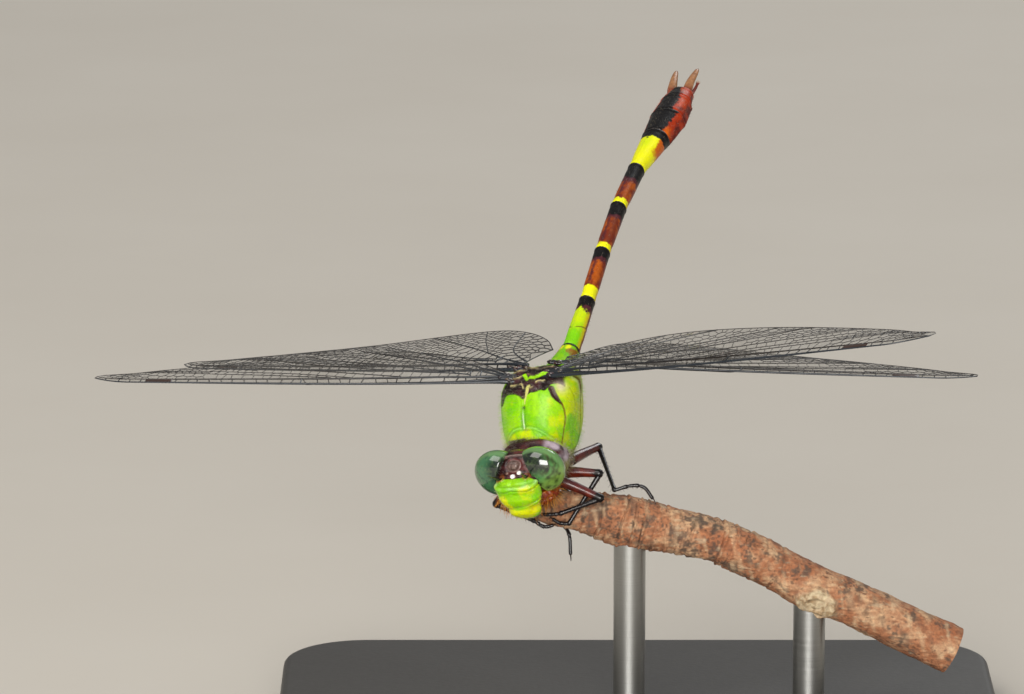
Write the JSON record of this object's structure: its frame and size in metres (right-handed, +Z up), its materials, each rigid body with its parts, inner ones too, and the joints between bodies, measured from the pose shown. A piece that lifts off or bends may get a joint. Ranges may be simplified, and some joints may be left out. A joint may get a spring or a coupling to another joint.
{
  "type": "clubtail dragonfly on a cut twig with a display stand",
  "caption": "Life-size green clubtail dragonfly gripping a cut twig, wings spread level and banded tail raised, held by a flat display base with steel rods.",
  "frame": {"origin": "centre of the underside of the stand's base", "axes": "+X to the animal's left, +Y away from its face towards the tail, +Z up from the base"},
  "size_m": [0.0627, 0.0521, 0.0425],
  "materials": {
    "green_cuticle": "lime green cuticle with yellow patches, satin gloss",
    "brown_cuticle": "maroon brown cuticle, glossy",
    "eye": "dark green compound eye with olive bands, polished",
    "orange_mouth": "orange brown mouthparts with golden bristles",
    "banded_tail": "yellow front band, orange brown middle and black hind ring, satin",
    "yellow_tail": "bright yellow front, black hind ring, satin",
    "dark_tail": "black back with red brown sides, satin",
    "tail_tip": "pale tan tips",
    "red_brown_leg": "glossy red brown thigh darkening to the knee",
    "black_leg": "black, spiny, glossy",
    "wing": "clear membrane with black veins",
    "bark": "weathered orange brown and grey bark",
    "stand_base": "dark satin powder coat on steel plate",
    "stand_rod": "plain round steel rod"
  },
  "bodies": {
    "root": {"head": "brown_cuticle", "eye_left": "eye", "eye_right": "eye", "frons": "green_cuticle", "clypeus": "green_cuticle", "labrum": "green_cuticle", "jaw": "orange_mouth", "antenna_left": "black_leg", "antenna_right": "black_leg", "prothorax": "brown_cuticle", "synthorax": "green_cuticle", "tail_ring_01": "green_cuticle", "tail_ring_02": "green_cuticle", "tail_ring_03": "banded_tail", "tail_ring_04": "banded_tail", "tail_ring_05": "banded_tail", "tail_ring_06": "banded_tail", "tail_ring_07": "yellow_tail", "tail_ring_08": "dark_tail", "tail_ring_09": "dark_tail", "tail_ring_10": "dark_tail", "cercus_left": "tail_tip", "cercus_right": "tail_tip", "epiproct": "dark_tail", "wing_fore_left": "wing", "wing_fore_right": "wing", "wing_hind_left": "wing", "wing_hind_right": "wing", "leg_fore_left_femur": "red_brown_leg", "leg_fore_left_tibia": "black_leg", "leg_fore_left_foot": "black_leg", "leg_mid_left_femur": "red_brown_leg", "leg_mid_left_tibia": "black_leg", "leg_mid_left_foot": "black_leg", "leg_hind_left_femur": "red_brown_leg", "leg_hind_left_tibia": "black_leg", "leg_hind_left_foot": "black_leg", "leg_fore_right_femur": "red_brown_leg", "leg_fore_right_tibia": "black_leg", "leg_fore_right_foot": "black_leg", "leg_mid_right_femur": "red_brown_leg", "leg_mid_right_tibia": "black_leg", "leg_mid_right_foot": "black_leg", "leg_hind_right_femur": "red_brown_leg", "leg_hind_right_tibia": "black_leg", "leg_hind_right_foot": "black_leg", "perch_twig": "bark", "stand_base": "stand_base", "stand_rod_1": "stand_rod", "stand_rod_2": "stand_rod"}
  },
  "joints": []
}
